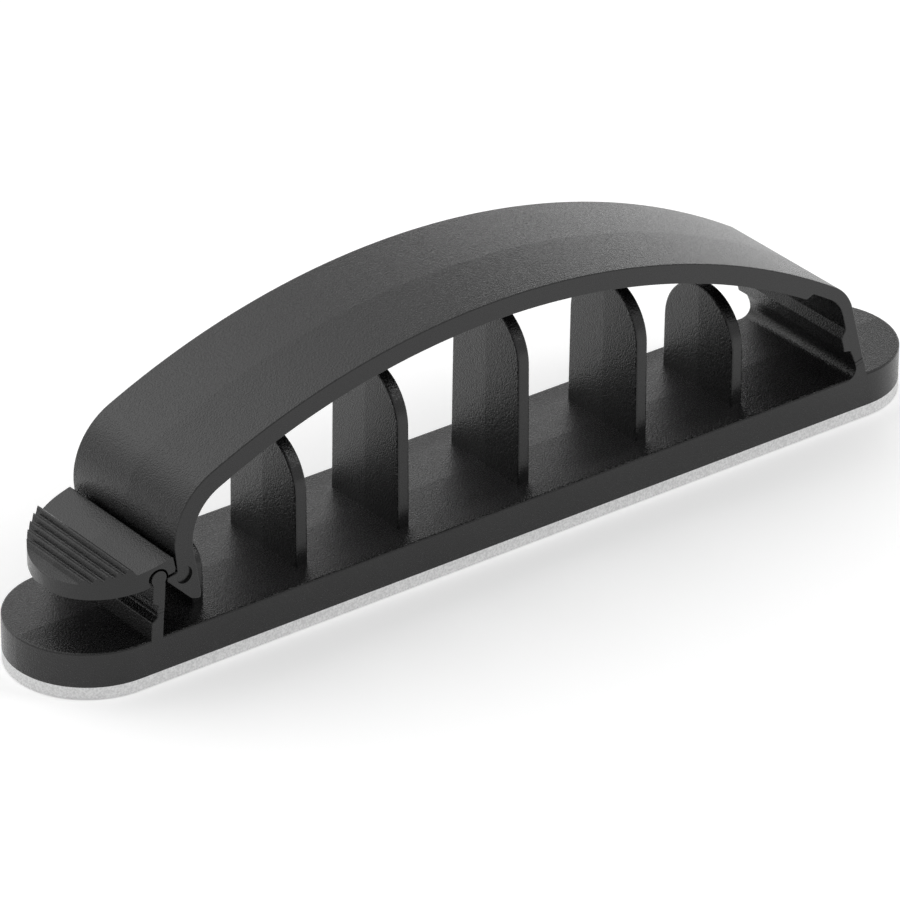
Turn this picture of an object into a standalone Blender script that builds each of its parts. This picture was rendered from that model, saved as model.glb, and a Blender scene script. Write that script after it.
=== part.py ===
"""Adhesive cable clip: a stadium base with upright dividers, closed over by one arched strap.

The base, the strap and the catch wall are one moulding. The strap bends at a thinned foot of its
end wall and the catch wall bends at two grooves, so each of them is an object of its own here,
parted from the base by a small gap at the line where it bends. A D-shaped thumb tab clips over the
bead on the catch wall, and its nose holds the hook on the free end of the strap.

Metres, +Z up. X runs along the base towards the fixed end of the strap, Y across it.
The origin is the middle of the underside.
"""

import math

import bmesh
import bpy
from mathutils import Vector

MM = 0.001

# Base plate and its adhesive pad
BASE_LENGTH = 102.0 * MM
BASE_WIDTH = 16.0 * MM
BASE_THICKNESS = 3.5 * MM
FOAM_THICKNESS = 0.95 * MM
FOAM_GAP = 0.25 * MM
EDGE_BREAK = 0.18 * MM
FINE_BREAK = 0.09 * MM
BREAK_SEGMENTS = 2
ROUND_PROFILE = 0.5
CORNER_SEGMENTS = 5
END_SEGMENTS = 28

# Upright dividers: the tallest one's distance from the foot of the catch wall, the pitches on
# either side of it, and heights over the base
DIVIDER_THICKNESS = 1.3 * MM
DIVIDER_INSET = 2.75 * MM
DIVIDER_DRAFT = math.radians(1.0)
TALL_DIVIDER_DISTANCE = 44.55 * MM
WIDE_PITCH = 14.05 * MM
NARROW_PITCH = 11.67 * MM
TALL_DIVIDER_HEIGHT = 17.2 * MM
CATCH_SIDE_HEIGHT = 15.4 * MM
CATCH_SIDE_LOW_HEIGHT = 12.35 * MM
FIXED_SIDE_HEIGHT = 15.1 * MM
FIXED_SIDE_LOW_HEIGHT = 10.7 * MM
STOP_DISTANCE = 7.1 * MM
STOP_HEIGHT = 5.8 * MM
STOP_CORNER_RADIUS = 2.3 * MM
ROUND_SEGMENTS = 20

# Catch wall, with its bead and the grooves that let it bend
CATCH_SETBACK = 9.3 * MM
CATCH_THICKNESS = 1.3 * MM
CATCH_LEAN = math.radians(3.3)
BEAD_RADIUS = 0.8 * MM
BEAD_HEIGHT = 6.08 * MM
BEAD_OFFSET = -0.07 * MM
BEAD_NECK_ANGLE = math.radians(42.0)
BEAD_SEGMENTS = 40
GROOVE_HEIGHT = 2.75 * MM
GROOVE_PITCH = 1.1 * MM
GROOVE_DEPTH = 0.72 * MM
GROOVE_RIB_DEPTH = 0.4 * MM
GROOVE_MOUTH = 0.9 * MM
BEND_GAP = 0.3 * MM

# Thumb tab, measured from the middle of the bead
TAB_CLEARANCE = 0.2 * MM
TAB_NOSE_REACH = 1.8 * MM
TAB_NOSE_TOP = 1.84 * MM
TAB_NOSE_SET_BACK = 0.3 * MM
TAB_NOSE_UNDERCUT = 0.2 * MM
TAB_STRIP_END = (-2.05 * MM, 0.85 * MM)
TAB_REACH = 7.2 * MM
TAB_RIM_DROP = 0.45 * MM
TAB_RIM_THICKNESS = 1.6 * MM
TAB_LIP_DROP = 0.7 * MM
TAB_LIP_ANGLE = math.radians(217.0)
TAB_SOCKET_END = math.radians(4.0)
TAB_END_SEGMENTS = 56
RIB_COUNT = 5
RIB_PITCH = 0.76 * MM
RIB_FIRST = (-2.72 * MM, 1.58 * MM)
RIB_SLOPE = 0.42
RIB_DEPTH = 0.45 * MM
RIB_SEGMENTS = 8

# Strap: heights over the base of the outer corners and of the crown
STRAP_THICKNESS = 2.0 * MM
STRAP_CROWN_HEIGHT = 22.23 * MM
STRAP_FREE_CORNER_HEIGHT = 12.66 * MM
STRAP_FIXED_CORNER_HEIGHT = 9.55 * MM
STRAP_FREE_FILLET = 7.0 * MM
STRAP_FIXED_FILLET = 5.0 * MM
STRAP_FREE_LEAN = math.radians(7.6)
STRAP_ARCH_SEGMENTS = 56
STRAP_FILLET_SEGMENTS = 14
NOSE_TO_STRAP = 0.22 * MM

# Fixed end of the strap: the leaning end wall, where it is thinned, and the line where it bends
END_WALL_SETBACK = 8.5 * MM
END_WALL_LEAN = math.radians(15.0)
THIN_WALL = 1.3 * MM
FOOT_WALL = 1.05 * MM
FOOT_FILLET = 0.95 * MM
FOOT_FILLET_SINK = 0.02 * MM
THIN_FOOT_LENGTH = 3.9 * MM
KNUCKLE_LENGTH = 1.55 * MM
THIN_CORNER_LENGTH = 8.8 * MM
THIN_STEP = 0.35 * MM
KNUCKLE_FADE = 0.8 * MM
POCKET_FADE = 0.6 * MM
STUB_HEIGHT = 1.5 * MM
FLEX_GAP = 0.35 * MM
FLEX_RISE = 0.45 * MM

# Hook on the free end of the strap
HOOK_GAP = 0.22 * MM
HOOK_TIP_HEIGHT = 0.4 * MM
HOOK_RAMP_DROP = 2.9 * MM
HOOK_HEEL_RADIUS = 0.6 * MM
HOOK_HEEL_WIDTH = 1.3 * MM
MARK_RADIUS = 0.87 * MM
MARK_DEPTH = 0.25 * MM
MARK_CENTRE = (1.95 * MM, -0.5 * MM)
MARK_SEGMENTS = 32

# Heights and places worked out from the sizes above
BASE_BOTTOM = FOAM_THICKNESS + FOAM_GAP
BASE_TOP = BASE_BOTTOM + BASE_THICKNESS
HALF_WIDTH = BASE_WIDTH / 2
FREE_END = -BASE_LENGTH / 2
FIXED_END = BASE_LENGTH / 2
CATCH_FOOT = FREE_END + CATCH_SETBACK
END_WALL_FOOT = FIXED_END - END_WALL_SETBACK
SINK = BASE_THICKNESS / 2
FILLET_SHARE = 0.49

CHARCOAL = (0.035, 0.035, 0.037)
CHARCOAL_ROUGHNESS = 0.62
TAB_CHARCOAL = (0.037, 0.037, 0.039)
TAB_ROUGHNESS = 0.6
FOAM_GREY = (0.52, 0.52, 0.52)
FOAM_ROUGHNESS = 0.95


def clear_scene():
    for obj in list(bpy.data.objects):
        bpy.data.objects.remove(obj, do_unlink=True)


def material(name, colour, roughness):
    mat = bpy.data.materials.new(name)
    mat.use_nodes = True
    shader = mat.node_tree.nodes["Principled BSDF"]
    shader.inputs["Base Color"].default_value = (*colour, 1.0)
    shader.inputs["Roughness"].default_value = roughness
    shader.inputs["Metallic"].default_value = 0.0
    return mat


def finish_mesh(mesh, name, mat):
    """Turn an edit mesh into a named object with one material."""
    bmesh.ops.recalc_face_normals(mesh, faces=mesh.faces)
    data = bpy.data.meshes.new(name)
    mesh.to_mesh(data)
    mesh.free()
    obj = bpy.data.objects.new(name, data)
    bpy.context.scene.collection.objects.link(obj)
    if mat is not None:
        data.materials.append(mat)
    return obj


def use_as_tool(target, tool, operation, name):
    """Join or cut the target with another object, which stays in the file as a guide."""
    tool.hide_render = True
    tool.display_type = "WIRE"
    modifier = target.modifiers.new(name, "BOOLEAN")
    modifier.operation = operation
    modifier.object = tool
    modifier.solver = "EXACT"


def arc(centre, radius, start, end, segments):
    """Points along an arc, ends included; angles in radians from the first axis."""
    step = (end - start) / segments
    return [
        Vector((centre[0] + radius * math.cos(start + step * i),
                centre[1] + radius * math.sin(start + step * i)))
        for i in range(segments + 1)
    ]


def fillet(before, corner, after, radius, segments):
    """Points of the arc that rounds a corner between two straight stretches."""
    before = Vector(before)
    corner = Vector(corner)
    after = Vector(after)
    into = (before - corner).normalized()
    out = (after - corner).normalized()
    half = into.angle(out) / 2
    shorter = min((before - corner).length, (after - corner).length)
    reach = min(radius / math.tan(half), shorter * FILLET_SHARE)
    radius = reach * math.tan(half)
    centre = corner + (into + out).normalized() * (radius / math.sin(half))
    first = corner + into * reach - centre
    last = corner + out * reach - centre
    start = math.atan2(first.y, first.x)
    turn = math.atan2(last.y, last.x) - start
    turn = (turn + math.pi) % (2 * math.pi) - math.pi
    return arc(centre, radius, start, start + turn, segments)


def arch_fillet(foot, lean, inside, centre, arch_radius, radius):
    """Points of the arc that joins a leaning wall to the arch, from the wall to the arch.

    The wall goes up from its foot and leans towards the free end. inside is 1 where the arch is
    on the wall's fixed side and -1 where it is on its free side.
    """
    up = Vector((-math.sin(lean), math.cos(lean)))
    inwards = Vector((math.cos(lean), math.sin(lean))) * inside
    start = Vector(foot) + inwards * radius - centre
    along = start.dot(up)
    short = arch_radius - radius
    rise = math.sqrt(along * along - start.length_squared + short * short) - along
    eye = start + up * rise
    on_wall = -inwards * radius
    on_arch = eye.normalized() * radius
    first = math.atan2(on_wall.y, on_wall.x)
    turn = math.atan2(on_arch.y, on_arch.x) - first
    turn = (turn + math.pi) % (2 * math.pi) - math.pi
    return arc(centre + eye, radius, first, first + turn, STRAP_FILLET_SEGMENTS)


def rounded(corners):
    """Closed outline from corners given as (x, z, fillet radius)."""
    points = []
    count = len(corners)
    for i, (x, z, radius) in enumerate(corners):
        if radius <= 0:
            points.append(Vector((x, z)))
            continue
        before = corners[i - 1][:2]
        after = corners[(i + 1) % count][:2]
        points.extend(fillet(before, (x, z), after, radius, CORNER_SEGMENTS))
    return points


def add_prism(mesh, outline, place, start, end, edge_break, both_ends=True):
    """Extrude an outline between two distances and break the edges of its end faces.

    place turns an outline point and a distance into a point in space. Only the far end's edges
    are broken if both_ends is False.
    """
    ring = [mesh.verts.new(place(point, start)) for point in outline]
    face = mesh.faces.new(ring)
    extruded = bmesh.ops.extrude_face_region(mesh, geom=[face])["geom"]
    moved = [v for v in extruded if isinstance(v, bmesh.types.BMVert)]
    shift = place(Vector((0, 0)), end) - place(Vector((0, 0)), start)
    bmesh.ops.translate(mesh, verts=moved, vec=shift)
    far = [f for f in extruded if isinstance(f, bmesh.types.BMFace)]
    bmesh.ops.recalc_face_normals(mesh, faces=mesh.faces)
    if edge_break > 0:
        caps = [face, *far] if both_ends else far
        rim = {edge for cap in caps for edge in cap.edges}
        bmesh.ops.bevel(
            mesh, geom=list(rim), offset=edge_break, segments=BREAK_SEGMENTS,
            profile=ROUND_PROFILE, affect="EDGES", clamp_overlap=True,
        )


def along_y(point, distance):
    return Vector((point.x, distance, point.y))


def along_z(point, distance):
    return Vector((point.x, point.y, distance))


def catch_face(height, side):
    """X of the catch wall's free-end face (side 0) or strap face (side 1) at a height."""
    return CATCH_FOOT + side * CATCH_THICKNESS + height * math.tan(CATCH_LEAN)


def bead_centre():
    x = catch_face(BEAD_HEIGHT, 0.5) + BEAD_OFFSET
    return Vector((x, BASE_TOP + BEAD_HEIGHT))


def end_wall_outer(height):
    return END_WALL_FOOT - height * math.tan(END_WALL_LEAN)


def end_wall_point(height):
    """Point on the outer face of the end wall, at a height over the base."""
    return Vector((end_wall_outer(height), BASE_TOP + height))


def end_wall_up():
    return Vector((-math.sin(END_WALL_LEAN), math.cos(END_WALL_LEAN)))


def end_wall_inwards():
    return Vector((-math.cos(END_WALL_LEAN), -math.sin(END_WALL_LEAN)))


def strap_bend_axis():
    """Middle of the thin wall, a little above the foot of the strap."""
    foot = end_wall_point(STUB_HEIGHT + FLEX_GAP) + end_wall_inwards() * (FOOT_WALL / 2)
    return foot + end_wall_up() * FLEX_RISE


def stadium(length, width):
    """Plan outline of a plate with round ends."""
    radius = width / 2
    reach = length / 2 - radius
    right = arc((reach, 0), radius, -math.pi / 2, math.pi / 2, END_SEGMENTS)
    left = arc((-reach, 0), radius, math.pi / 2, 3 * math.pi / 2, END_SEGMENTS)
    return right + left


def plate(name, low, high, edge_break, mat):
    """A flat plate with round ends, whose upper edge is broken."""
    mesh = bmesh.new()
    add_prism(mesh, stadium(BASE_LENGTH, BASE_WIDTH), along_z, low, high, edge_break, both_ends=False)
    return finish_mesh(mesh, name, mat)


def add_divider(mesh, centre, height, corner_radius):
    """One upright across the base: drafted sides and rounded upper corners."""
    foot = HALF_WIDTH - DIVIDER_INSET
    shoulder = foot - (height - corner_radius) * math.tan(DIVIDER_DRAFT)
    radius = min(corner_radius, shoulder)
    eye = height - radius
    right = arc((shoulder - radius, BASE_TOP + eye), radius, 0, math.pi / 2, ROUND_SEGMENTS)
    left = arc((radius - shoulder, BASE_TOP + eye), radius, math.pi / 2, math.pi, ROUND_SEGMENTS)
    if corner_radius >= shoulder:
        left = left[1:]
    outline = [Vector((-foot, BASE_TOP - SINK)), Vector((foot, BASE_TOP - SINK)), *right, *left]
    near = centre - DIVIDER_THICKNESS / 2
    far = centre + DIVIDER_THICKNESS / 2

    def across(point, distance):
        return Vector((distance, point.x, point.y))

    add_prism(mesh, outline, across, near, far, EDGE_BREAK)


def groove_outline():
    """Profile of the catch wall's grooved face, listed downwards, as X and height."""
    half = GROOVE_PITCH / 2
    top = GROOVE_HEIGHT + half + GROOVE_MOUTH / 2
    low = GROOVE_HEIGHT - half - GROOVE_MOUTH / 2
    floor_up = GROOVE_HEIGHT + half
    floor_low = GROOVE_HEIGHT - half
    return (
        (catch_face(top, 0), top),
        (catch_face(floor_up, 0) + GROOVE_DEPTH, floor_up),
        (catch_face(GROOVE_HEIGHT, 0) + GROOVE_RIB_DEPTH, GROOVE_HEIGHT),
        (catch_face(floor_low, 0) + GROOVE_DEPTH, floor_low),
        (catch_face(low, 0), low),
    )


def groove_face_at(height):
    """X of the slope beside the rib between the grooves, at a height near that rib."""
    upper, rib, lower = groove_outline()[1:4]
    other = upper if height > rib[1] else lower
    share = (height - rib[1]) / (other[1] - rib[1])
    return rib[0] + (other[0] - rib[0]) * share


def add_catch_stub(mesh):
    """The catch wall from the base up to the line where it bends."""
    top = GROOVE_HEIGHT - BEND_GAP / 2
    points = groove_outline()
    corners = (
        (catch_face(-SINK, 0), BASE_TOP - SINK, 0),
        (catch_face(-SINK, 1), BASE_TOP - SINK, 0),
        (catch_face(top, 1), BASE_TOP + top, 0),
        (groove_face_at(top), BASE_TOP + top, 0),
        (points[3][0], BASE_TOP + points[3][1], EDGE_BREAK),
        (points[4][0], BASE_TOP + points[4][1], EDGE_BREAK),
    )
    add_prism(mesh, rounded(corners), along_y, -HALF_WIDTH, HALF_WIDTH, FINE_BREAK)


def add_end_stub(mesh):
    """The foot of the strap's end wall: cut off square, and filleted into the base inside."""
    across = end_wall_inwards() * FOOT_WALL
    up = end_wall_up()
    low = end_wall_point(-SINK)
    top = end_wall_point(STUB_HEIGHT)
    inner = end_wall_point(0) + across
    root = inner + up * ((BASE_TOP - FOOT_FILLET_SINK - inner.y) / up.y)
    above = root + up * BASE_WIDTH
    beside = root - Vector((BASE_WIDTH, 0))
    fillet_arc = fillet(above, root, beside, FOOT_FILLET, ROUND_SEGMENTS)
    under = Vector((fillet_arc[-1].x, BASE_TOP - SINK))
    outline = [under, low, top, top + across, *fillet_arc]
    add_prism(mesh, outline, along_y, -HALF_WIDTH, HALF_WIDTH, FINE_BREAK)


def build_base(mat):
    base = plate("base", BASE_BOTTOM, BASE_TOP, EDGE_BREAK, mat)
    uprights = bmesh.new()
    tall = CATCH_FOOT + TALL_DIVIDER_DISTANCE
    rows = (
        (tall - WIDE_PITCH - NARROW_PITCH, CATCH_SIDE_LOW_HEIGHT),
        (tall - WIDE_PITCH, CATCH_SIDE_HEIGHT),
        (tall, TALL_DIVIDER_HEIGHT),
        (tall + WIDE_PITCH, FIXED_SIDE_HEIGHT),
        (tall + WIDE_PITCH + NARROW_PITCH, FIXED_SIDE_LOW_HEIGHT),
    )
    for centre, height in rows:
        add_divider(uprights, centre, height, HALF_WIDTH - DIVIDER_INSET)
    add_divider(uprights, CATCH_FOOT + STOP_DISTANCE, STOP_HEIGHT, STOP_CORNER_RADIUS)
    add_catch_stub(uprights)
    add_end_stub(uprights)
    tool = finish_mesh(uprights, "base_uprights_tool", None)
    use_as_tool(base, tool, "UNION", "uprights")
    return base


def build_latch_wall(mat):
    """The catch wall above its bending line, with the bead along its top."""
    low = GROOVE_HEIGHT + BEND_GAP / 2
    points = groove_outline()
    centre = bead_centre()
    neck_height = BEAD_HEIGHT - BEAD_RADIUS * math.sin(BEAD_NECK_ANGLE)
    strap_side = catch_face(neck_height, 1)
    start = math.asin(max(-1.0, (BASE_TOP + neck_height - centre.y) / BEAD_RADIUS))
    head = arc(centre, BEAD_RADIUS, start, math.pi + BEAD_NECK_ANGLE, BEAD_SEGMENTS)
    lower = rounded((
        (catch_face(neck_height - EDGE_BREAK, 0), BASE_TOP + neck_height - EDGE_BREAK * 2, 0),
        (points[0][0], BASE_TOP + points[0][1], EDGE_BREAK),
        (points[1][0], BASE_TOP + points[1][1], EDGE_BREAK),
        (groove_face_at(low), BASE_TOP + low, 0),
        (catch_face(low, 1), BASE_TOP + low, 0),
        (strap_side, BASE_TOP + neck_height, 0),
    ))
    mesh = bmesh.new()
    add_prism(mesh, head + lower, along_y, -HALF_WIDTH, HALF_WIDTH, FINE_BREAK)
    return finish_mesh(mesh, "latch_wall", mat)


def rib_wave():
    """Wavy top of the ribbed stretch, from its first valley outwards, around the bead."""
    points = []
    first_x, first_z = RIB_FIRST
    steps = RIB_COUNT * RIB_SEGMENTS
    for i in range(steps + 1):
        turn = i / RIB_SEGMENTS - 0.5
        x = first_x - turn * RIB_PITCH
        crest = first_z + (x - first_x) * RIB_SLOPE
        z = crest - RIB_DEPTH * (1 - math.cos(2 * math.pi * turn)) / 2
        points.append(Vector((x, z)))
    return points


def tab_outline():
    """Side profile of the thumb tab, with the socket that clips over the bead."""
    socket = BEAD_RADIUS + TAB_CLEARANCE
    underside = -TAB_LIP_DROP
    rim_low = -TAB_RIM_DROP - TAB_RIM_THICKNESS
    nose_low = TAB_NOSE_UNDERCUT
    inside = arc((0, 0), socket, TAB_LIP_ANGLE, TAB_SOCKET_END, BEAD_SEGMENTS)
    nose = rounded((
        (inside[-1].x, inside[-1].y, 0),
        (TAB_NOSE_REACH - FINE_BREAK, nose_low, EDGE_BREAK),
        (TAB_NOSE_REACH, nose_low + TAB_NOSE_SET_BACK, EDGE_BREAK),
        (TAB_NOSE_REACH - TAB_NOSE_SET_BACK, TAB_NOSE_TOP, EDGE_BREAK),
        (*TAB_STRIP_END, 0),
    ))
    outer = rounded((
        (-TAB_REACH, rim_low + TAB_RIM_THICKNESS, EDGE_BREAK),
        (-TAB_REACH, rim_low, EDGE_BREAK),
        (-socket, underside - EDGE_BREAK, 0),
    ))
    lip = Vector((-socket - EDGE_BREAK, underside - FINE_BREAK))
    return nose + rib_wave() + outer[:-1] + [lip] + inside[:-1]


def build_thumb_tab(mat):
    centre = bead_centre()
    mesh = bmesh.new()
    outline = [point + centre for point in tab_outline()]
    add_prism(mesh, outline, along_y, -HALF_WIDTH, HALF_WIDTH, 0)
    tab = finish_mesh(mesh, "thumb_tab", mat)

    eye = centre.x - TAB_REACH + HALF_WIDTH
    square = centre.x + TAB_NOSE_REACH + BASE_WIDTH
    plan = arc((eye, 0), HALF_WIDTH, math.pi / 2, 3 * math.pi / 2, TAB_END_SEGMENTS)
    plan += [Vector((square, -HALF_WIDTH)), Vector((square, HALF_WIDTH))]
    cutter = bmesh.new()
    add_prism(cutter, plan, along_z, BASE_TOP, BASE_TOP + BASE_WIDTH, 0)
    tool = finish_mesh(cutter, "thumb_tab_plan_tool", None)
    use_as_tool(tab, tool, "INTERSECT", "plan")
    return tab


def strap_nose_line():
    """X of the strap's outer face at the height where the hook starts."""
    return bead_centre().x + TAB_NOSE_REACH + NOSE_TO_STRAP


def arch_circle(left, right, crown):
    """Centre and radius of the circle through two outer corners with its top at the crown."""
    drop_left = crown - left.y
    drop_right = crown - right.y
    span = right.x - left.x
    a = 1 / drop_left - 1 / drop_right
    b = 2 * span / drop_right
    c = drop_left - drop_right - span * span / drop_right
    reach = -2 * c / (b + math.sqrt(b * b - 4 * a * c))
    radius = (reach * reach + drop_left * drop_left) / (2 * drop_left)
    return Vector((left.x + reach, crown - radius)), radius


def strap_outer_path():
    """Outer face of the strap, from its bending foot over the arch to the top of the hook."""
    foot = end_wall_point(STUB_HEIGHT + FLEX_GAP)
    right = end_wall_point(STRAP_FIXED_CORNER_HEIGHT)
    hook_top = bead_centre().y + TAB_NOSE_UNDERCUT
    nose_x = strap_nose_line()
    left_height = BASE_TOP + STRAP_FREE_CORNER_HEIGHT
    left = Vector((nose_x - (left_height - hook_top) * math.tan(STRAP_FREE_LEAN), left_height))
    hook = Vector((nose_x, hook_top))
    centre, radius = arch_circle(left, right, BASE_TOP + STRAP_CROWN_HEIGHT)

    right_round = arch_fillet(foot, END_WALL_LEAN, -1, centre, radius, STRAP_FIXED_FILLET)
    left_round = arch_fillet(hook, STRAP_FREE_LEAN, 1, centre, radius, STRAP_FREE_FILLET)[::-1]
    start_offset = right_round[-1] - centre
    end_offset = left_round[0] - centre
    arch = arc(
        centre, radius, math.atan2(start_offset.y, start_offset.x),
        math.atan2(end_offset.y, end_offset.x), STRAP_ARCH_SEGMENTS,
    )
    return [foot, *right_round, *arch[1:-1], *left_round, hook]


def strap_wall_marks():
    """Distances along the strap from its bending foot where its thickness starts or stops changing."""
    foot_height = (STUB_HEIGHT + FLEX_GAP) / math.cos(END_WALL_LEAN)
    knuckle = THIN_FOOT_LENGTH - foot_height
    pocket = knuckle + KNUCKLE_LENGTH
    full = pocket + THIN_CORNER_LENGTH
    return (
        (0, FOOT_WALL), (knuckle - THIN_STEP, THIN_WALL), (knuckle, STRAP_THICKNESS),
        (pocket, STRAP_THICKNESS), (pocket + KNUCKLE_FADE, THIN_WALL),
        (full, THIN_WALL), (full + POCKET_FADE, STRAP_THICKNESS),
    )


def strap_wall_at(station):
    """Thickness of the strap at a distance along it from its bending foot."""
    marks = strap_wall_marks()
    for (low, wall), (high, next_wall) in zip(marks, marks[1:]):
        if station <= high:
            share = (station - low) / (high - low)
            return wall + (next_wall - wall) * share
    return STRAP_THICKNESS


def strap_stations(path):
    """Distances and points along the path, with points added where the thickness changes."""
    wanted = [station for station, wall in strap_wall_marks()[1:]]
    result = []
    walked = 0.0
    for here, ahead in zip(path, path[1:]):
        length = (ahead - here).length
        direction = (ahead - here) / length
        result.append((walked, here))
        for station in wanted:
            if walked < station < walked + length:
                result.append((station, here + direction * (station - walked)))
        walked += length
    result.append((walked, path[-1]))
    return result


def strap_outline():
    """Closed side profile of the strap with its hook."""
    stations = strap_stations(strap_outer_path())
    outer = [point for station, point in stations]
    inner = []
    for i, (station, point) in enumerate(stations):
        ahead = outer[min(i + 1, len(outer) - 1)]
        behind = outer[max(i - 1, 0)]
        direction = (ahead - behind).normalized()
        normal = Vector((-direction.y, direction.x))
        inner.append(point + normal * strap_wall_at(station))

    centre = bead_centre()
    tip = catch_face(BEAD_HEIGHT, 1) + TAB_CLEARANCE
    under_nose = centre.y + TAB_NOSE_UNDERCUT - HOOK_GAP
    tip_top = centre.y - HOOK_GAP
    heel = tip + HOOK_RAMP_DROP
    heel_low = tip_top - HOOK_TIP_HEIGHT - HOOK_RAMP_DROP
    hook = rounded((
        (strap_nose_line(), centre.y + TAB_NOSE_TOP, 0),
        (strap_nose_line(), under_nose, EDGE_BREAK),
        (tip, tip_top, FINE_BREAK),
        (tip, tip_top - HOOK_TIP_HEIGHT, FINE_BREAK),
        (heel - HOOK_HEEL_RADIUS / 2, heel_low + HOOK_HEEL_RADIUS / 2, HOOK_HEEL_RADIUS),
        (heel + HOOK_HEEL_WIDTH - HOOK_HEEL_RADIUS, heel_low, HOOK_HEEL_RADIUS),
        (inner[-1].x + HOOK_HEEL_RADIUS, centre.y - HOOK_RAMP_DROP, HOOK_HEEL_RADIUS),
        (inner[-1].x, centre.y + TAB_NOSE_TOP, 0),
    ))
    return outer[:-1] + hook[1:-1] + inner[:-1][::-1]


def build_strap(mat):
    mesh = bmesh.new()
    add_prism(mesh, strap_outline(), along_y, -HALF_WIDTH, HALF_WIDTH, FINE_BREAK)
    strap = finish_mesh(mesh, "strap", mat)

    centre = bead_centre() + Vector(MARK_CENTRE)
    spot = arc(centre + Vector((BEAD_RADIUS, 0)), MARK_RADIUS, 0, 2 * math.pi, MARK_SEGMENTS)[:-1]
    cutter = bmesh.new()
    add_prism(cutter, spot, along_y, -HALF_WIDTH - MARK_DEPTH, -HALF_WIDTH + MARK_DEPTH, 0)
    tool = finish_mesh(cutter, "strap_mark_tool", None)
    use_as_tool(strap, tool, "DIFFERENCE", "moulding mark")
    return strap


def hang_on_axis(child, point, name):
    """Parent an object to an empty on its bending axis, which runs across the base."""
    axis = bpy.data.objects.new(name, None)
    axis.location = along_y(point, 0)
    bpy.context.scene.collection.objects.link(axis)
    bpy.context.view_layer.update()
    child.parent = axis
    child.matrix_parent_inverse = axis.matrix_world.inverted()


def main():
    clear_scene()
    charcoal = material("charcoal_plastic", CHARCOAL, CHARCOAL_ROUGHNESS)
    tab_plastic = material("tab_plastic", TAB_CHARCOAL, TAB_ROUGHNESS)
    foam = material("grey_foam", FOAM_GREY, FOAM_ROUGHNESS)

    plate("foam_pad", 0, FOAM_THICKNESS, 0, foam)
    build_base(charcoal)
    latch_wall = build_latch_wall(charcoal)
    thumb_tab = build_thumb_tab(tab_plastic)
    strap = build_strap(charcoal)

    grooved_wall = CATCH_THICKNESS - GROOVE_DEPTH
    latch_bend = Vector((catch_face(GROOVE_HEIGHT, 1) - grooved_wall / 2, BASE_TOP + GROOVE_HEIGHT))
    hang_on_axis(latch_wall, latch_bend, "latch_wall_bend")
    hang_on_axis(thumb_tab, latch_bend, "thumb_tab_bend")
    hang_on_axis(strap, strap_bend_axis(), "strap_bend")


main()
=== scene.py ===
# %% [markdown]
# # Adhesive cable clip
#
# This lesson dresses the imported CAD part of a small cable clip. The plastic pieces already have
# the right shape, so each one is copied, and the copy is smoothed and gets a better material. The
# foam pad is built again, so that it meets the base, and two thin webs close the lines where the
# moulding bends.

# %% Load the frame
import bpy
import math
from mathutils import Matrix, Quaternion, Vector


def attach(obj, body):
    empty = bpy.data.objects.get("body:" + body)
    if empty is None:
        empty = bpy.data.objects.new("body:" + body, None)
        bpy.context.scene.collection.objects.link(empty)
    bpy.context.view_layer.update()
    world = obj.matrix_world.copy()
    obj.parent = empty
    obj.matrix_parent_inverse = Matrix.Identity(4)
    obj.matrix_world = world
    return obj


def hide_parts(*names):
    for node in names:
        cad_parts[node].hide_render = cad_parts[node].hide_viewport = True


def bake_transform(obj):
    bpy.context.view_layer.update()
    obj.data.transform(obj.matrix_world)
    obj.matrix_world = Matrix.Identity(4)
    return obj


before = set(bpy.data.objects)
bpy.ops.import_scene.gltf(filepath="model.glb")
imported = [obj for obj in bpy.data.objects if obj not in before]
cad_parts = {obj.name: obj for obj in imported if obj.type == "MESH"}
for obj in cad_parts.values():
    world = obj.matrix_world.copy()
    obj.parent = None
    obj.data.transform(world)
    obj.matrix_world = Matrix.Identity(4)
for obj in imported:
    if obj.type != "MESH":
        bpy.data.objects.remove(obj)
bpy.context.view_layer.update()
print("nodes:", sorted(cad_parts))

# %% [markdown]
# ## The camera
#
# The camera looks down at the clip from the front left. It sits far away with a long lens, so the
# long edges of the base stay almost parallel, as in a catalogue photograph. Its direction is given
# by two angles, and its place by the point where it sits.

# %% Camera
HEADING = math.radians(52.351)
DROP = math.radians(29.157)
ROLL = math.radians(0.453)
CAMERA_PLACE = Vector((-0.35178, -0.45356, 0.32706))
LENS = 280.85
SENSOR_WIDTH = 36
NEAREST = 0.01

towards = Vector((
    math.cos(DROP) * math.cos(HEADING),
    math.cos(DROP) * math.sin(HEADING),
    -math.sin(DROP),
))
camera_data = bpy.data.cameras.new("camera")
camera_data.sensor_width = SENSOR_WIDTH
camera_data.lens = LENS
camera_data.clip_start = NEAREST
camera = bpy.data.objects.new("camera", camera_data)
camera.location = CAMERA_PLACE
level = towards.to_track_quat("-Z", "Y")
camera.rotation_euler = (level @ Quaternion((0, 0, 1), ROLL)).to_euler()
bpy.context.scene.collection.objects.link(camera)
bpy.context.scene.camera = camera
print("lens:", round(camera_data.lens, 1), "mm, looking along", [round(v, 3) for v in towards])

# %% [markdown]
# ## Helpers for materials
#
# Four helpers serve every material. The first two make a material and put it on an object. The
# other two give a surface a different strength for the rays that look at it and for the rays that
# carry its light to the clip.

# %% Helpers for materials
WHITE = (1, 1, 1, 1)


def new_material(name):
    """A material with its Principled shader, ready for more nodes."""
    mat = bpy.data.materials.new(name)
    mat.use_nodes = True
    return mat, mat.node_tree, mat.node_tree.nodes["Principled BSDF"]


def dress(obj, mat):
    """Give an object one material in place of what it has."""
    obj.data.materials.clear()
    obj.data.materials.append(mat)


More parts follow.
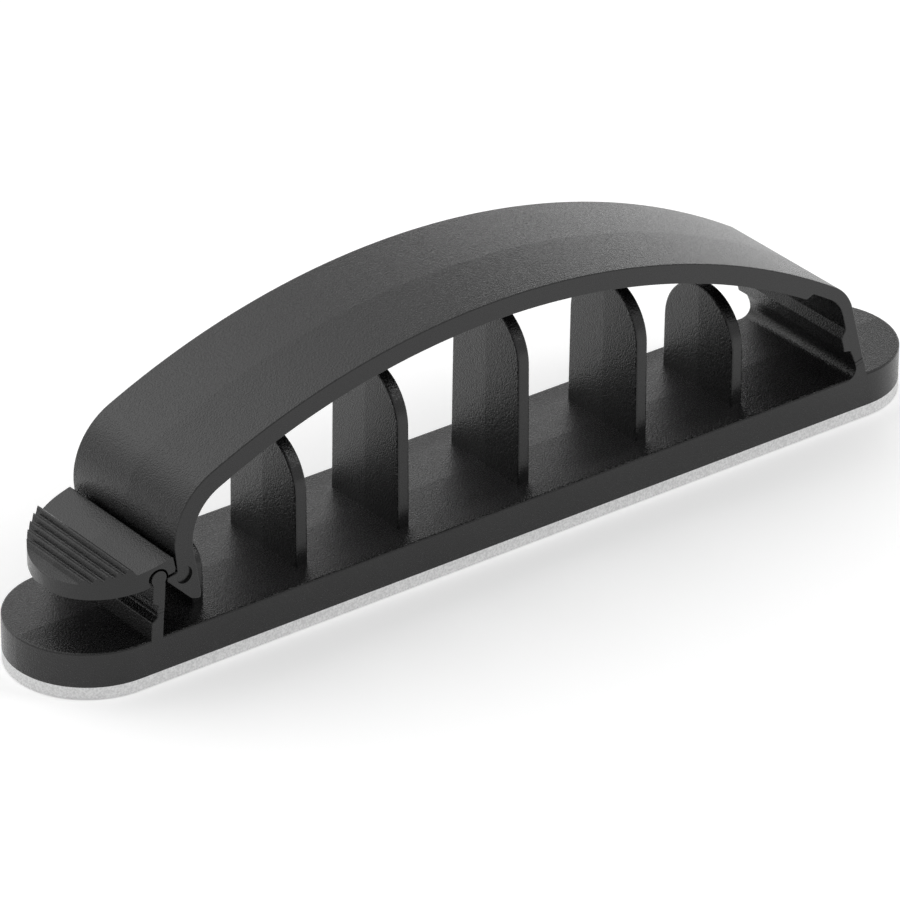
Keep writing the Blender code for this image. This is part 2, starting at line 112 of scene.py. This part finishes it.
def seen_rays(tree, gloss):
    """1 for a ray from the camera, gloss for one from a gloss, and 0 for the light on the clip."""
    ray = tree.nodes.new("ShaderNodeLightPath")
    part = tree.nodes.new("ShaderNodeMath")
    part.operation = "MULTIPLY"
    part.inputs[1].default_value = gloss
    tree.links.new(ray.outputs["Is Glossy Ray"], part.inputs[0])
    seen = tree.nodes.new("ShaderNodeMath")
    seen.operation = "MAXIMUM"
    tree.links.new(ray.outputs["Is Camera Ray"], seen.inputs[0])
    tree.links.new(part.outputs[0], seen.inputs[1])
    return seen.outputs[0]


def ramp(tree, value, low, high):
    """A number that goes from low to high as the value goes from 0 to 1."""
    node = tree.nodes.new("ShaderNodeMapRange")
    node.inputs["To Min"].default_value = low
    node.inputs["To Max"].default_value = high
    tree.links.new(value, node.inputs["Value"])
    return node.outputs["Result"]


print("helpers:", [f.__name__ for f in (new_material, dress, seen_rays, ramp)])

# %% [markdown]
# ## Floor
#
# The clip was photographed on a white ground. A large pale floor catches the soft shadow. It glows
# a little for the camera and for glosses, so that it comes out white without more light on the
# clip. It lies a hair below the pad, so that the two faces don't flicker.

# %% Floor
FLOOR_SIZE = 6
FLOOR_DROP = 0.0001
FLOOR_COLOUR = (0.93, 0.93, 0.93, 1)
FLOOR_ROUGHNESS = 0.9
FLOOR_GLOW = 0.25

floor_paint, floor_tree, floor_shader = new_material("floor_paint")
floor_shader.inputs["Base Color"].default_value = FLOOR_COLOUR
floor_shader.inputs["Roughness"].default_value = FLOOR_ROUGHNESS
floor_shader.inputs["Emission Color"].default_value = WHITE
glow = ramp(floor_tree, seen_rays(floor_tree, gloss=1), 0, FLOOR_GLOW)
floor_tree.links.new(glow, floor_shader.inputs["Emission Strength"])

bpy.ops.object.select_all(action="DESELECT")
bpy.ops.mesh.primitive_plane_add(size=FLOOR_SIZE, location=(0, 0, -FLOOR_DROP))
floor = bpy.context.object
floor.name = "floor"
dress(floor, floor_paint)
print("floor:", FLOOR_SIZE, "m wide, glow", FLOOR_GLOW)

# %% [markdown]
# ## Backdrop
#
# The world is white to the camera. It is dimmer where it lights the clip or shows in its gloss, so
# that world and lamps together come to a plain level.

# %% Backdrop
WORLD_STRENGTH = 0.66
WORLD_SHARE_IN_GLOSS = 0.1

world = bpy.data.worlds.new("studio")
bpy.context.scene.world = world
world.use_nodes = True
world_tree = world.node_tree
backdrop = world_tree.nodes["Background"]
backdrop.inputs["Color"].default_value = WHITE
strength = ramp(world_tree, seen_rays(world_tree, WORLD_SHARE_IN_GLOSS), WORLD_STRENGTH, 1)
world_tree.links.new(strength, backdrop.inputs["Strength"])
print("world:", WORLD_STRENGTH, "on the clip and 1 to the camera")

# %% [markdown]
# ## Light
#
# Dark plastic shows what it reflects more than its own colour. One wide lamp high behind the clip
# lies where the strap's left shoulder and the thumb tab reflect it. Its spread is small, so its
# edges fade and leave no line on the strap. A weak lamp stands low behind the fixed end, where the
# strap slopes down and is seen at a shallow angle. A small third one at the front right lights the
# foam and sends the shadow back.

# %% Light
def area_light(name, place, size, power, spread=180):
    """A rectangular lamp that faces the clip; a small spread makes its edges fade."""
    data = bpy.data.lights.new(name, "AREA")
    data.shape = "RECTANGLE"
    data.size, data.size_y = size
    data.energy = power
    data.spread = math.radians(spread)
    light = bpy.data.objects.new(name, data)
    light.location = place
    light.rotation_euler = (-Vector(place)).to_track_quat("-Z", "Y").to_euler()
    bpy.context.scene.collection.objects.link(light)


area_light("high_back", place=(-0.22, 0.67, 0.64), size=(1.3, 1.3), power=1.4, spread=80)
area_light("back_right", place=(0.74, 0.64, 0.06), size=(0.8, 0.2), power=0.55)
area_light("front_right", place=(0.5, -0.46, 0.65), size=(0.3, 0.3), power=1.2)

# %% [markdown]
# ## Helpers for shader nodes
#
# A shader group is a small machine with named inputs and outputs. These helpers make an empty
# group and the few kinds of node that go into it.

# %% Helpers for shader nodes
def new_group(name, inputs, outputs):
    """An empty group; an input is a name, a kind and a value, an output a name and a kind."""
    group = bpy.data.node_groups.new(name, "ShaderNodeTree")
    for label, kind, value in inputs:
        socket = group.interface.new_socket(label, in_out="INPUT", socket_type=kind)
        if value is not None:
            socket.default_value = value
    for label, kind in outputs:
        group.interface.new_socket(label, in_out="OUTPUT", socket_type=kind)
    return group, group.nodes.new("NodeGroupInput"), group.nodes.new("NodeGroupOutput")


def math_node(tree, operation, first, second=None):
    """A Math node; each argument is a socket or a number."""
    node = tree.nodes.new("ShaderNodeMath")
    node.operation = operation
    for i, value in enumerate((first, second)):
        if isinstance(value, bpy.types.NodeSocket):
            tree.links.new(value, node.inputs[i])
        elif value is not None:
            node.inputs[i].default_value = value
    return node.outputs[0]


def map_range(tree, value, from_low, from_high, to_low, to_high):
    """A smooth Map Range node from a socket."""
    node = tree.nodes.new("ShaderNodeMapRange")
    node.interpolation_type = "SMOOTHSTEP"
    tree.links.new(value, node.inputs["Value"])
    node.inputs["From Min"].default_value = from_low
    node.inputs["From Max"].default_value = from_high
    node.inputs["To Min"].default_value = to_low
    node.inputs["To Max"].default_value = to_high
    return node.outputs["Result"]


def noise(tree, place, scale, detail):
    """A Noise Texture's value at a place."""
    node = tree.nodes.new("ShaderNodeTexNoise")
    node.inputs["Scale"].default_value = scale
    node.inputs["Detail"].default_value = detail
    tree.links.new(place, node.inputs["Vector"])
    return node.outputs["Fac"]


def y_size(tree, vector):
    """How far a vector reaches across the clip, to either side."""
    parts = tree.nodes.new("ShaderNodeSeparateXYZ")
    tree.links.new(vector, parts.inputs[0])
    return math_node(tree, "ABSOLUTE", parts.outputs["Y"])


print("helpers:", [f.__name__ for f in (new_group, math_node, map_range, noise, y_size)])

# %% [markdown]
# ## The grain of the mould, with painted side shade
#
# The broad faces of the moulding carry a fine sand texture, which the steel of the mould leaves on
# the plastic. The faces towards the front and the back were cut smoother, and their colour is also
# painted about a fifth darker: this is painted shade, for the less light they catch. One node
# group
# makes both: it takes a place on the piece and the way the surface faces, and it puts out a colour
# variation with that painted shade, a roughness and a height. The height also falls away a little
# to both sides of the middle, which shows as a soft line along the strap and down the dividers.

# %% Node group for the grain and the painted side shade
GROUP_COLOUR = (0.013, 0.013, 0.0135, 1)
GROUP_DEPTH = 0.00006
FINE_SCALE, FINE_DETAIL = 7000, 1
CLOUDY_SCALE, CLOUDY_DETAIL = 260, 3
SIDE_STARTS, SIDE_IS_FULL, GRAIN_AND_LIGHTNESS_ON_SIDE = 0.75, 0.97, 0.15
FINE_SHARE, CLOUDY_SHARE, MOST_SHADE = 0.5, 0.25, 0.75
DARKEST, LIGHTEST = 0.8, 1.25
FINE_LOW, FINE_HIGH = 0.3, 0.7
SMOOTHEST, ROUGHEST = 0.19, 0.32
FALL_TO_THE_SIDES = -0.033

grain, grain_in, grain_out = new_group(
    "moulded_grain_and_painted_shade",
    (("Place", "NodeSocketVector", None), ("Facing", "NodeSocketVector", None),
     ("Colour", "NodeSocketColor", GROUP_COLOUR), ("Depth", "NodeSocketFloat", GROUP_DEPTH)),
    (("Colour", "NodeSocketColor"), ("Roughness", "NodeSocketFloat"),
     ("Height", "NodeSocketFloat")),
)
place = grain_in.outputs["Place"]
fine = noise(grain, place, FINE_SCALE, FINE_DETAIL)
cloudy = noise(grain, place, CLOUDY_SCALE, CLOUDY_DETAIL)
sideways = y_size(grain, grain_in.outputs["Facing"])
# Faces towards the front and the back get less grain and, through this mask, a colour about a
# fifth darker: painted shade.
grain_and_shade_by_facing = map_range(grain, sideways, SIDE_STARTS, SIDE_IS_FULL, 1, GRAIN_AND_LIGHTNESS_ON_SIDE)

fine_part = math_node(grain, "MULTIPLY", fine, FINE_SHARE)
cloudy_part = math_node(grain, "MULTIPLY", cloudy, CLOUDY_SHARE)
shade = math_node(grain, "MULTIPLY", math_node(grain, "ADD", fine_part, cloudy_part), grain_and_shade_by_facing)
# The colour scale below is the grain's random tone, and on the front and back faces also painted
# shade.
tinted = grain.nodes.new("ShaderNodeVectorMath")
tinted.operation = "SCALE"
grain.links.new(grain_in.outputs["Colour"], tinted.inputs[0])
grain.links.new(map_range(grain, shade, 0, MOST_SHADE, DARKEST, LIGHTEST), tinted.inputs["Scale"])
grain.links.new(tinted.outputs[0], grain_out.inputs["Colour"])

roughness = map_range(grain, fine, FINE_LOW, FINE_HIGH, SMOOTHEST, ROUGHEST)
grain.links.new(roughness, grain_out.inputs["Roughness"])

fall = math_node(grain, "MULTIPLY", y_size(grain, place), FALL_TO_THE_SIDES)
sand = math_node(grain, "MULTIPLY", fine, grain_and_shade_by_facing)
deep_sand = math_node(grain, "MULTIPLY", sand, grain_in.outputs["Depth"])
grain.links.new(math_node(grain, "ADD", deep_sand, fall), grain_out.inputs["Height"])
print("grain nodes:", len(grain.nodes))

# %% [markdown]
# ## The two plastics
#
# The clip and its thumb tab come from two moulds. The tab's plastic is a touch lighter, and its
# grain is only half as deep.

# %% The two plastics
def moulded_plastic(name, colour, grain_depth):
    """Charcoal plastic with the grain and painted side shade group, on one piece's own
    coordinates.
    """
    mat, tree, shader = new_material(name)
    coordinates = tree.nodes.new("ShaderNodeTexCoord")
    surface = tree.nodes.new("ShaderNodeGroup")
    surface.node_tree = grain
    surface.inputs["Colour"].default_value = (*colour, 1)
    surface.inputs["Depth"].default_value = grain_depth
    tree.links.new(coordinates.outputs["Object"], surface.inputs["Place"])
    tree.links.new(coordinates.outputs["Normal"], surface.inputs["Facing"])
    bump = tree.nodes.new("ShaderNodeBump")
    bump.inputs["Distance"].default_value = 1
    tree.links.new(surface.outputs["Height"], bump.inputs["Height"])
    tree.links.new(surface.outputs["Colour"], shader.inputs["Base Color"])
    tree.links.new(surface.outputs["Roughness"], shader.inputs["Roughness"])
    tree.links.new(bump.outputs["Normal"], shader.inputs["Normal"])
    return mat


charcoal = moulded_plastic(
    "charcoal_plastic", colour=(0.0045, 0.0045, 0.0047), grain_depth=0.000062,
)
tab_plastic = moulded_plastic(
    "tab_plastic", colour=(0.005, 0.005, 0.0052), grain_depth=0.00003,
)
print("plastics:", charcoal.name, tab_plastic.name)

# %% [markdown]
# ## Smooth rounds
#
# A CAD node is made of loose flat triangles, which would show on the round ends and on the arch.
# Each rigid piece is therefore copied, the copy gives up the normals it came with, its doubles are
# merged, and only its shallow edges are smoothed. The edges of its bevels stay crisp.

# %% Smooth copies of the plastic pieces
MERGE_WITHIN = 0.000002
SHALLOW = math.radians(15)


def pick(obj):
    """Select one object alone and make it the active one."""
    bpy.ops.object.select_all(action="DESELECT")
    obj.select_set(True)
    bpy.context.view_layer.objects.active = obj


def edit(obj, mode):
    """Open one object in edit mode with the wanted kind of selection."""
    pick(obj)
    bpy.context.tool_settings.mesh_select_mode = (mode == "VERT", mode == "EDGE", False)
    bpy.ops.object.mode_set(mode="EDIT")


def smooth_copy(node_name, body, mat):
    """A merged and smoothed copy that stands for one CAD piece."""
    pick(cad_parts[node_name])
    bpy.ops.object.duplicate()
    piece = bpy.context.object
    piece.name = node_name + "_surface"
    bpy.ops.mesh.customdata_custom_splitnormals_clear()
    edit(piece, "VERT")
    bpy.ops.mesh.select_all(action="SELECT")
    bpy.ops.mesh.remove_doubles(threshold=MERGE_WITHIN)
    bpy.ops.object.mode_set(mode="OBJECT")
    bpy.ops.object.shade_smooth_by_angle(angle=SHALLOW)
    dress(piece, mat)
    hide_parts(node_name)
    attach(piece, body)
    print(piece.name, len(piece.data.vertices), "vertices")


smooth_copy("base", "base", charcoal)
smooth_copy("strap", "strap", charcoal)
smooth_copy("latch_wall", "latch", charcoal)
smooth_copy("thumb_tab", "latch", tab_plastic)

# %% [markdown]
# ## Boxes with rounded upright edges
#
# The foam pad and the two webs all start as boxes. These helpers make a box at its true size and
# bevel only the edges that stand upright, which are found by their height.

# %% Helpers for boxes
def box(name, size, place=(0, 0, 0)):
    """A box of a given size, with its place and size in the mesh."""
    bpy.ops.object.select_all(action="DESELECT")
    bpy.ops.mesh.primitive_cube_add(size=1, location=place)
    obj = bpy.context.object
    obj.name = name
    obj.scale = size
    bpy.ops.object.transform_apply(location=True, rotation=True, scale=True)
    return obj


def bevel_uprights(obj, height, offset, segments):
    """Bevel the upright edges of a box that is this high."""
    mesh = obj.data
    for group in (mesh.vertices, mesh.edges, mesh.polygons):
        for item in group:
            item.select = False
    for edge in mesh.edges:
        bottom, top = (mesh.vertices[i].co.z for i in edge.vertices)
        edge.select = abs(top - bottom) > height / 2
    edit(obj, "EDGE")
    bpy.ops.mesh.bevel(offset=offset, segments=segments, affect="EDGES")
    bpy.ops.object.mode_set(mode="OBJECT")


print("helpers:", [f.__name__ for f in (box, bevel_uprights)])

# %% [markdown]
# ## The foam pad
#
# The CAD pad stops a little short of the base. This one is as thick as the whole step and meets
# the base. It starts as a box, and its upright edges are bevelled until the ends are round. The
# two bevels of an end stop just before they meet.

# %% Foam pad
LENGTH, WIDTH, BASE_UNDERSIDE = 0.102, 0.016, 0.0012
SHORT_OF_MEETING = 0.00001
END_SEGMENTS = 24
FOAM_SHALLOW = math.radians(35)

foam = box("foam", (LENGTH, WIDTH, BASE_UNDERSIDE), place=(0, 0, BASE_UNDERSIDE / 2))
bevel_uprights(foam, BASE_UNDERSIDE, WIDTH / 2 - SHORT_OF_MEETING, END_SEGMENTS)
bpy.ops.object.shade_smooth_by_angle(angle=FOAM_SHALLOW)
print("foam:", len(foam.data.vertices), "vertices")

# %% [markdown]
# ## The foam's cells
#
# Light grey foam looks speckled from close by, because its cells are cut open along the side. A
# fine noise mixes two greys.

# %% Foam material
CELL_SCALE, CELL_DETAIL = 5200, 3
CELL_LOW, CELL_HIGH = 0.3, 0.7
DARK_GREY, LIGHT_GREY = (0.69, 0.69, 0.69, 1), (0.89, 0.89, 0.89, 1)
FOAM_ROUGHNESS = 0.95

foam_material, foam_tree, foam_shader = new_material("grey_foam")
foam_place = foam_tree.nodes.new("ShaderNodeTexCoord")
cells = noise(foam_tree, foam_place.outputs["Object"], CELL_SCALE, CELL_DETAIL)
foam_tone = foam_tree.nodes.new("ShaderNodeMix")
foam_tone.data_type = "RGBA"
foam_tone.inputs["A"].default_value = DARK_GREY
foam_tone.inputs["B"].default_value = LIGHT_GREY
lightness = map_range(foam_tree, cells, CELL_LOW, CELL_HIGH, 0, 1)
foam_tree.links.new(lightness, foam_tone.inputs["Factor"])
foam_tree.links.new(foam_tone.outputs["Result"], foam_shader.inputs["Base Color"])
foam_shader.inputs["Roughness"].default_value = FOAM_ROUGHNESS
dress(foam, foam_material)

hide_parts("foam_pad")
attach(foam, "base")
print("foam material:", foam_material.name)

# %% [markdown]
# ## The two bending lines
#
# The real moulding is one piece. The strap and the catch wall are parted from the base in the CAD,
# so that they can move. A thin web fills each gap. It is cut fine enough that it could bend in a
# curve.

# %% Flex webs
WEB_BEVEL, WEB_BEVEL_SEGMENTS = 0.00009, 2
WEB_CUTS = 7


def web(name, thickness, height, place, lean):
    """A thin wall across the clip in the gap between the base and another body."""
    obj = box(name, (thickness, WIDTH, height))
    bevel_uprights(obj, height, WEB_BEVEL, WEB_BEVEL_SEGMENTS)
    obj.rotation_euler = (0, lean, 0)
    obj.location = place
    bpy.ops.object.transform_apply(location=True, rotation=True)
    edit(obj, "VERT")
    bpy.ops.mesh.select_all(action="SELECT")
    bpy.ops.mesh.subdivide(number_cuts=WEB_CUTS)
    bpy.ops.object.mode_set(mode="OBJECT")
    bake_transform(obj)
    dress(obj, charcoal)
    return obj


foot_web = web(
    "foot_web", thickness=0.00105, height=0.00036, place=(0.04154, 0, 0.00624),
    lean=math.radians(-15),
)
wall_web = web(
    "wall_web", thickness=0.00075, height=0.0003, place=(-0.04062, 0, 0.00745),
    lean=0,
)
print("webs:", foot_web.name, wall_web.name)

# %% [markdown]
# ## View transform
#
# The render shows colours as they are written, through the Standard view transform.

bpy.context.scene.view_settings.view_transform = "Standard"
